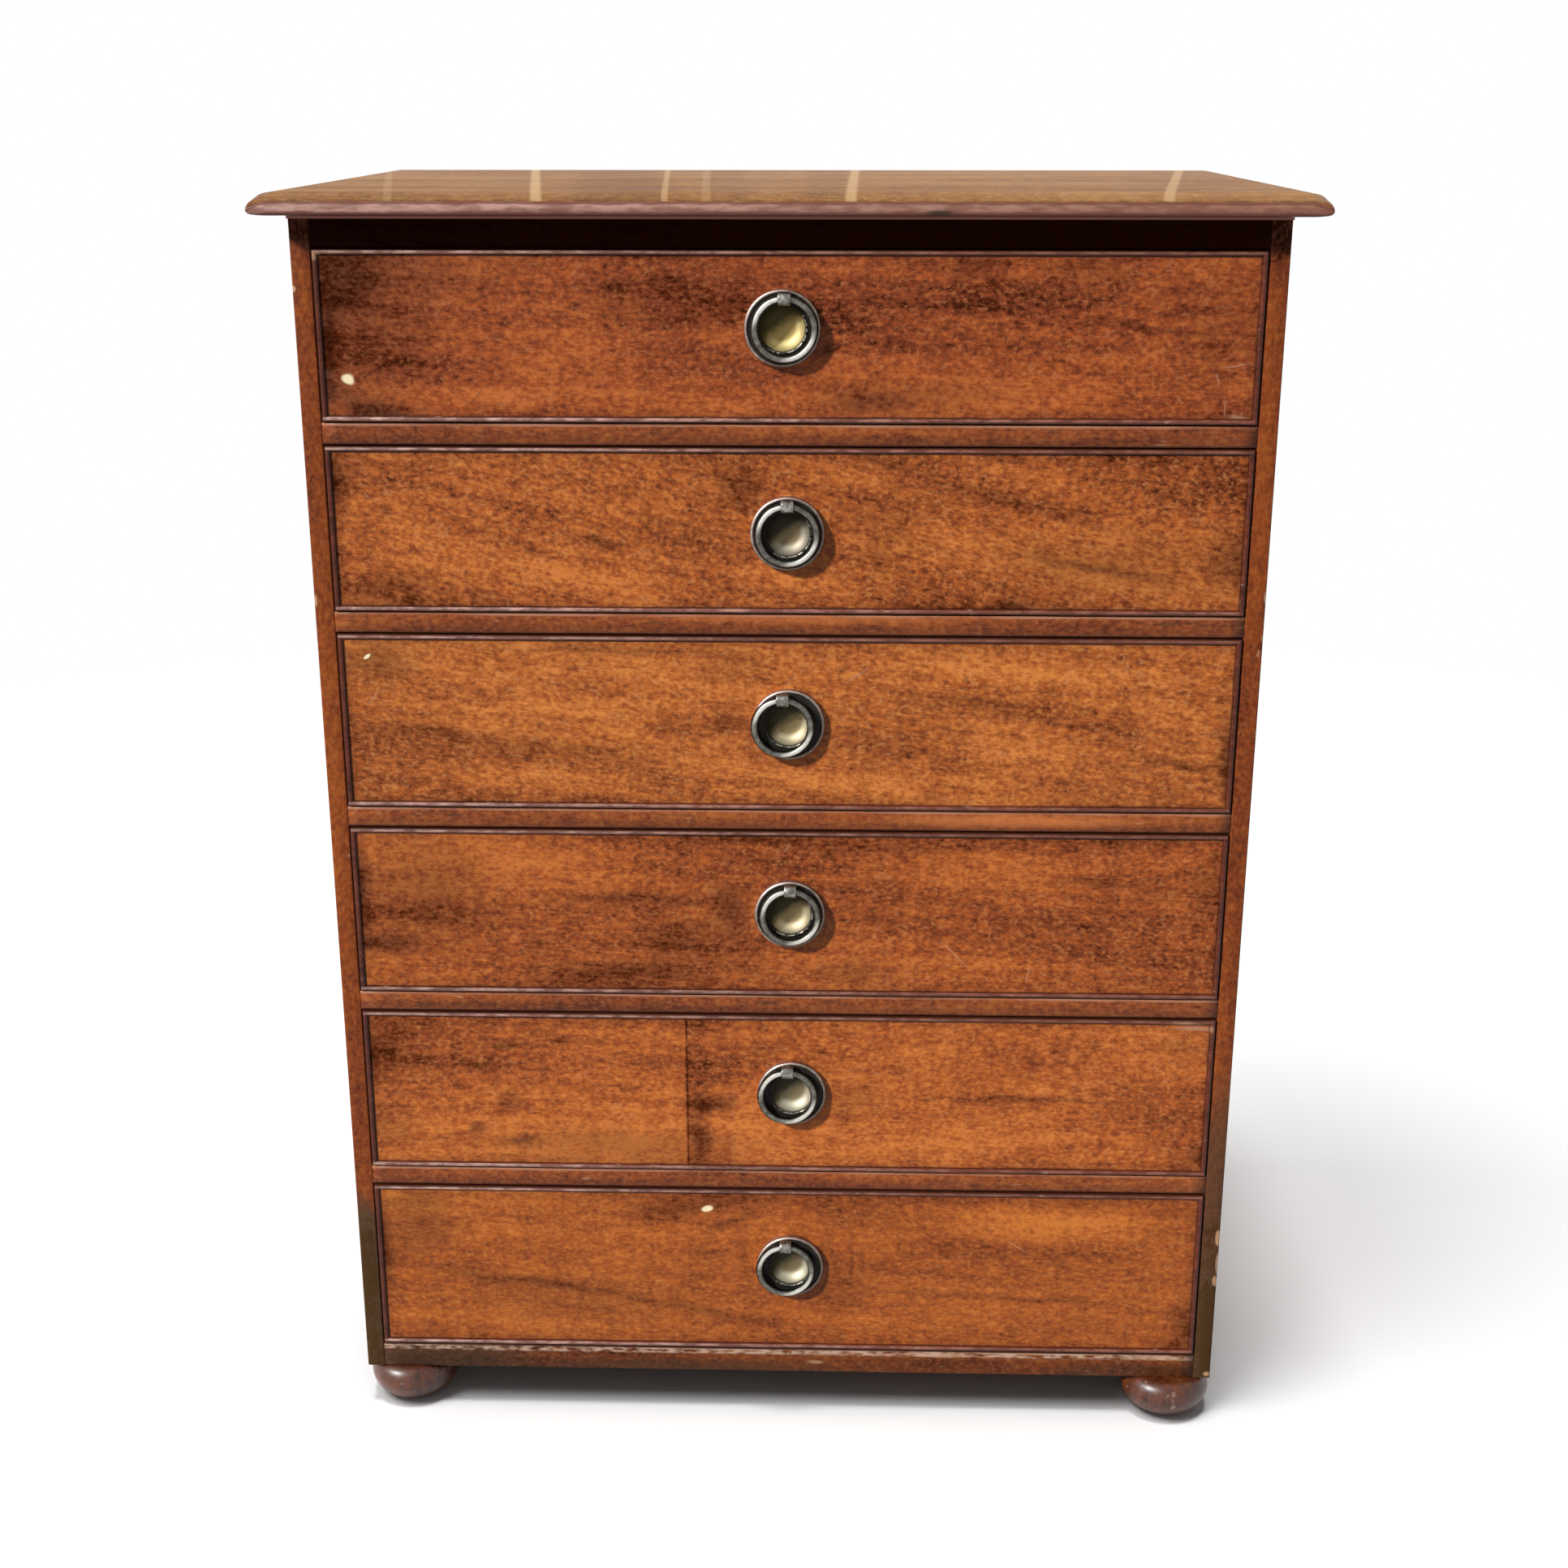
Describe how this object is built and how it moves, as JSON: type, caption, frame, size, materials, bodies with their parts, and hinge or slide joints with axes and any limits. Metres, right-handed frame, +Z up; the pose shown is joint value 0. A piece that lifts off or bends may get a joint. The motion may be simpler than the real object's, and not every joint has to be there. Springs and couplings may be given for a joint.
{
  "type": "chest of drawers",
  "caption": "Small mahogany chest of graduated cockbeaded drawers with ring pulls, a moulded overhanging top and squat turned bun feet.",
  "frame": {"origin": "on the floor, below the middle of the top board", "axes": "+X to the right as seen from the front, +Y to the back, +Z up; the drawers open to -Y"},
  "size_m": [0.637, 0.412, 0.84],
  "materials": {
    "top_mahogany": "waxed and polished",
    "side_mahogany": "waxed and polished",
    "rail_mahogany": "waxed and polished",
    "drawer_mahogany": "waxed and polished",
    "bead_mahogany": "waxed and polished",
    "foot_mahogany": "polished, worn",
    "inner_pine": "bare, aged",
    "drawer_lining": "bare, aged",
    "pull_plate_brass": "darkened by age",
    "pull_ring_brass": "darkened by age",
    "iron_screws": "dull"
  },
  "bodies": {
    "carcase": {"top_board": "top_mahogany", "side_left": "side_mahogany", "side_right": "side_mahogany", "frieze_rail": "rail_mahogany", "divider_rails": "rail_mahogany", "bottom_rail": "rail_mahogany", "top_back_rail": "inner_pine", "drawer_runners": "inner_pine", "kickers": "inner_pine", "drawer_stops": "inner_pine", "back_boards": "inner_pine", "glue_blocks": "inner_pine", "bottom_board": "inner_pine", "top_screws": "iron_screws", "foot_front_left": "foot_mahogany", "foot_front_right": "foot_mahogany", "foot_back_left": "foot_mahogany", "foot_back_right": "foot_mahogany"},
    "drawer_1": {"drawer_1_front": "drawer_mahogany", "drawer_1_sides": "drawer_lining", "drawer_1_back": "drawer_lining", "drawer_1_bottom": "drawer_lining", "drawer_1_cockbeads": "bead_mahogany", "pull_1_plate": "pull_plate_brass"},
    "ring_1": {"pull_1_ring": "pull_ring_brass"},
    "drawer_2": {"drawer_2_front": "drawer_mahogany", "drawer_2_sides": "drawer_lining", "drawer_2_back": "drawer_lining", "drawer_2_bottom": "drawer_lining", "drawer_2_cockbeads": "bead_mahogany", "pull_2_plate": "pull_plate_brass"},
    "ring_2": {"pull_2_ring": "pull_ring_brass"},
    "drawer_3": {"drawer_3_front": "drawer_mahogany", "drawer_3_sides": "drawer_lining", "drawer_3_back": "drawer_lining", "drawer_3_bottom": "drawer_lining", "drawer_3_cockbeads": "bead_mahogany", "pull_3_plate": "pull_plate_brass"},
    "ring_3": {"pull_3_ring": "pull_ring_brass"},
    "drawer_4": {"drawer_4_front": "drawer_mahogany", "drawer_4_sides": "drawer_lining", "drawer_4_back": "drawer_lining", "drawer_4_bottom": "drawer_lining", "drawer_4_cockbeads": "bead_mahogany", "pull_4_plate": "pull_plate_brass"},
    "ring_4": {"pull_4_ring": "pull_ring_brass"},
    "drawer_5": {"drawer_5_front": "drawer_mahogany", "drawer_5_sides": "drawer_lining", "drawer_5_back": "drawer_lining", "drawer_5_bottom": "drawer_lining", "drawer_5_cockbeads": "bead_mahogany", "pull_5_plate": "pull_plate_brass"},
    "ring_5": {"pull_5_ring": "pull_ring_brass"},
    "drawer_6": {"drawer_6_front": "drawer_mahogany", "drawer_6_sides": "drawer_lining", "drawer_6_back": "drawer_lining", "drawer_6_bottom": "drawer_lining", "drawer_6_cockbeads": "bead_mahogany", "pull_6_plate": "pull_plate_brass"},
    "ring_6": {"pull_6_ring": "pull_ring_brass"}
  },
  "joints": [
    {"name": "drawer_1_slide", "type": "slide", "parent": "carcase", "child": "drawer_1", "axis": [0, -1, 0], "range_m": [0, 0.28]},
    {"name": "ring_1_swing", "type": "hinge", "parent": "drawer_1", "child": "ring_1", "pos_m": [-0.00173, -0.1894, 0.77883], "axis": [-1, 0, 0], "range_deg": [0, 100]},
    {"name": "drawer_2_slide", "type": "slide", "parent": "carcase", "child": "drawer_2", "axis": [0, -1, 0], "range_m": [0, 0.28]},
    {"name": "ring_2_swing", "type": "hinge", "parent": "drawer_2", "child": "ring_2", "pos_m": [0.00017, -0.1894, 0.65315], "axis": [-1, 0, 0], "range_deg": [0, 100]},
    {"name": "drawer_3_slide", "type": "slide", "parent": "carcase", "child": "drawer_3", "axis": [0, -1, 0], "range_m": [0, 0.28]},
    {"name": "ring_3_swing", "type": "hinge", "parent": "drawer_3", "child": "ring_3", "pos_m": [-0.00279, -0.1894, 0.52885], "axis": [-1, 0, 0], "range_deg": [0, 100]},
    {"name": "drawer_4_slide", "type": "slide", "parent": "carcase", "child": "drawer_4", "axis": [0, -1, 0], "range_m": [0, 0.28]},
    {"name": "ring_4_swing", "type": "hinge", "parent": "drawer_4", "child": "ring_4", "pos_m": [0.00221, -0.1894, 0.39887], "axis": [-1, 0, 0], "range_deg": [0, 100]},
    {"name": "drawer_5_slide", "type": "slide", "parent": "carcase", "child": "drawer_5", "axis": [0, -1, 0], "range_m": [0, 0.28]},
    {"name": "ring_5_swing", "type": "hinge", "parent": "drawer_5", "child": "ring_5", "pos_m": [0.00045, -0.1894, 0.26813], "axis": [-1, 0, 0], "range_deg": [0, 100]},
    {"name": "drawer_6_slide", "type": "slide", "parent": "carcase", "child": "drawer_6", "axis": [0, -1, 0], "range_m": [0, 0.28]},
    {"name": "ring_6_swing", "type": "hinge", "parent": "drawer_6", "child": "ring_6", "pos_m": [-0.00084, -0.1894, 0.13464], "axis": [-1, 0, 0], "range_deg": [0, 100]}
  ]
}
